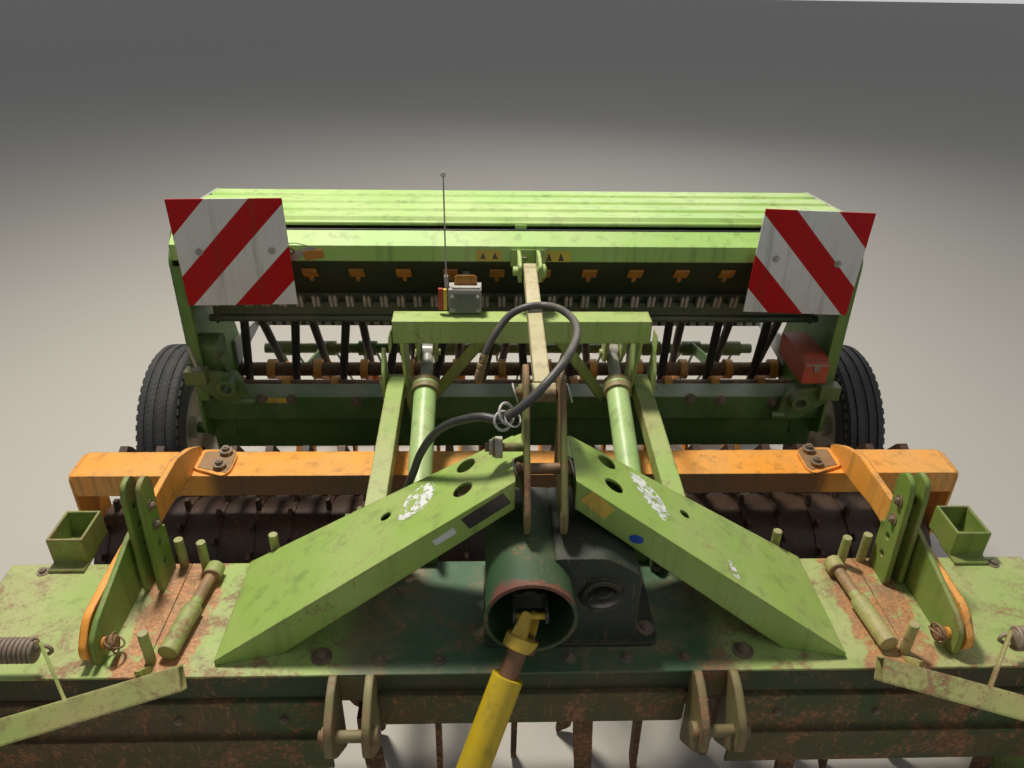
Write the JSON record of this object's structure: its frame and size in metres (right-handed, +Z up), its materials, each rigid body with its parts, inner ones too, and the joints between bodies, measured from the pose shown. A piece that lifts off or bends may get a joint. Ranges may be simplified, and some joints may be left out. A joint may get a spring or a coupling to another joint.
{
  "type": "harrow-mounted seed drill combination",
  "caption": "Seed drill carried on a power harrow with a toothed packer roller, a lift linkage, a hopper with a hinged lid, coulters and two wheels.",
  "frame": {"origin": "on the ground, under the middle of the machine's outline", "axes": "+X points across the machine, to the right in the front view; +Y points to the rear; +Z points up"},
  "size_m": [3, 3.1382, 1.63],
  "materials": {
    "green": "satin",
    "dark_green": "satin",
    "orange": "satin",
    "rust": "matt",
    "steel": "satin",
    "yellow": "satin",
    "black_hose": "matt",
    "tyre": "matt",
    "rim": "satin",
    "board": "gloss",
    "grey_plastic": "satin",
    "red": "satin"
  },
  "bodies": {
    "harrow": {"gear_trough": "dark_green", "deck_plates": "green", "front_guard": "dark_green", "hitch_brackets": "green", "headstock_legs": "green", "headstock_plates": "green", "gearbox": "dark_green", "pto_guard": "dark_green", "arm_brackets": "green", "deck_hinges": "green", "side_arms": "green", "side_springs": "rust", "side_plates": "green", "receptacles": "green", "roller_beam": "orange", "roller_ends": "orange", "roller_arms": "orange", "scrapers": "rust", "lift_brackets": "dark_green", "hose_line": "black_hose"},
    "rotor_1": {"rotor_1": "rust"},
    "rotor_2": {"rotor_2": "rust"},
    "rotor_3": {"rotor_3": "rust"},
    "rotor_4": {"rotor_4": "rust"},
    "rotor_5": {"rotor_5": "rust"},
    "rotor_6": {"rotor_6": "rust"},
    "rotor_7": {"rotor_7": "rust"},
    "rotor_8": {"rotor_8": "rust"},
    "rotor_9": {"rotor_9": "rust"},
    "rotor_10": {"rotor_10": "rust"},
    "roller": {"packer_roller": "rust"},
    "cardan": {"pto_fork": "yellow", "pto_sleeve": "yellow"},
    "lift": {"lift_arms": "green"},
    "rams": {"ram_barrels": "green"},
    "rods": {"ram_rods": "steel"},
    "link": {"upper_link": "green", "hose_loop": "black_hose"},
    "drill": {"drill_frame": "dark_green", "drill_cheeks": "dark_green", "lift_portal": "green", "hopper": "green", "metering": "grey_plastic", "seed_tubes": "black_hose", "coulter_bars": "rust", "coulters": "orange", "tine_harrow": "dark_green", "loading_step": "steel", "warning_boards": "board", "marker_sockets": "dark_green", "tool_box": "red", "drive_box": "dark_green", "control_box": "grey_plastic"},
    "lid": {"lid": "green", "lid_ends": "grey_plastic"},
    "wheel_left": {"tyre_left": "tyre", "rim_left": "rim"},
    "wheel_right": {"tyre_right": "tyre", "rim_right": "rim"}
  },
  "joints": [
    {"name": "rotor_1_spin", "type": "hinge", "parent": "harrow", "child": "rotor_1", "pos_m": [-1.35, -0.71757, 0.4], "axis": [0, 0, 1], "continuous": true},
    {"name": "rotor_2_spin", "type": "hinge", "parent": "harrow", "child": "rotor_2", "pos_m": [-1.05, -0.71757, 0.4], "axis": [0, 0, 1], "continuous": true},
    {"name": "rotor_3_spin", "type": "hinge", "parent": "harrow", "child": "rotor_3", "pos_m": [-0.75, -0.71757, 0.4], "axis": [0, 0, 1], "continuous": true},
    {"name": "rotor_4_spin", "type": "hinge", "parent": "harrow", "child": "rotor_4", "pos_m": [-0.45, -0.71757, 0.4], "axis": [0, 0, 1], "continuous": true},
    {"name": "rotor_5_spin", "type": "hinge", "parent": "harrow", "child": "rotor_5", "pos_m": [-0.15, -0.71757, 0.4], "axis": [0, 0, 1], "continuous": true},
    {"name": "rotor_6_spin", "type": "hinge", "parent": "harrow", "child": "rotor_6", "pos_m": [0.15, -0.71757, 0.4], "axis": [0, 0, 1], "continuous": true},
    {"name": "rotor_7_spin", "type": "hinge", "parent": "harrow", "child": "rotor_7", "pos_m": [0.45, -0.71757, 0.4], "axis": [0, 0, 1], "continuous": true},
    {"name": "rotor_8_spin", "type": "hinge", "parent": "harrow", "child": "rotor_8", "pos_m": [0.75, -0.71757, 0.4], "axis": [0, 0, 1], "continuous": true},
    {"name": "rotor_9_spin", "type": "hinge", "parent": "harrow", "child": "rotor_9", "pos_m": [1.05, -0.71757, 0.4], "axis": [0, 0, 1], "continuous": true},
    {"name": "rotor_10_spin", "type": "hinge", "parent": "harrow", "child": "rotor_10", "pos_m": [1.35, -0.71757, 0.4], "axis": [0, 0, 1], "continuous": true},
    {"name": "roller_spin", "type": "hinge", "parent": "harrow", "child": "roller", "pos_m": [0, -0.00957, 0.25], "axis": [1, 0, 0], "continuous": true},
    {"name": "cardan_swing", "type": "hinge", "parent": "harrow", "child": "cardan", "pos_m": [-0.016, -0.91957, 0.88], "axis": [-1, 0, 0], "range_deg": [0, 50]},
    {"name": "lift_raise", "type": "hinge", "parent": "harrow", "child": "lift", "pos_m": [0, -0.45957, 0.79], "axis": [1, 0, 0], "range_deg": [0, 35]},
    {"name": "drill_level", "type": "hinge", "parent": "lift", "child": "drill", "pos_m": [0, 0.24043, 0.835], "axis": [1, 0, 0], "range_deg": [-35, 0]},
    {"name": "link_pivot", "type": "hinge", "parent": "harrow", "child": "link", "pos_m": [0, -0.51957, 1.255], "axis": [1, 0, 0], "range_deg": [0, 35]},
    {"name": "ram_pivot", "type": "hinge", "parent": "harrow", "child": "rams", "pos_m": [0, -0.47957, 0.75], "axis": [1, 0, 0], "range_deg": [0, 31.22]},
    {"name": "ram_stroke", "type": "slide", "parent": "rams", "child": "rods", "axis": [0, 0.9452, 0.3266], "range_m": [0, 0.10372]},
    {"name": "lid_hinge", "type": "hinge", "parent": "drill", "child": "lid", "pos_m": [0, 0.38443, 1.391], "axis": [1, 0, 0], "range_deg": [0, 95]},
    {"name": "wheel_left_spin", "type": "hinge", "parent": "drill", "child": "wheel_left", "pos_m": [-1.4175, 0.65743, 0.365], "axis": [1, 0, 0], "continuous": true},
    {"name": "wheel_right_spin", "type": "hinge", "parent": "drill", "child": "wheel_right", "pos_m": [1.4175, 0.65743, 0.365], "axis": [1, 0, 0], "continuous": true}
  ],
  "couplings": [
    {"joint": "rotor_2_spin", "follows": "rotor_1_spin", "ratio": -1},
    {"joint": "rotor_3_spin", "follows": "rotor_1_spin", "ratio": 1},
    {"joint": "rotor_4_spin", "follows": "rotor_1_spin", "ratio": -1},
    {"joint": "rotor_5_spin", "follows": "rotor_1_spin", "ratio": 1},
    {"joint": "rotor_6_spin", "follows": "rotor_1_spin", "ratio": -1},
    {"joint": "rotor_7_spin", "follows": "rotor_1_spin", "ratio": 1},
    {"joint": "rotor_8_spin", "follows": "rotor_1_spin", "ratio": -1},
    {"joint": "rotor_9_spin", "follows": "rotor_1_spin", "ratio": 1},
    {"joint": "rotor_10_spin", "follows": "rotor_1_spin", "ratio": -1},
    {"joint": "drill_level", "follows": "lift_raise", "ratio": -1},
    {"joint": "link_pivot", "follows": "lift_raise", "ratio": 1},
    {"joint": "ram_pivot", "follows": "lift_raise", "ratio": 0.89164},
    {"joint": "ram_stroke", "follows": "lift_raise", "m_per_rad": 0.16964}
  ]
}
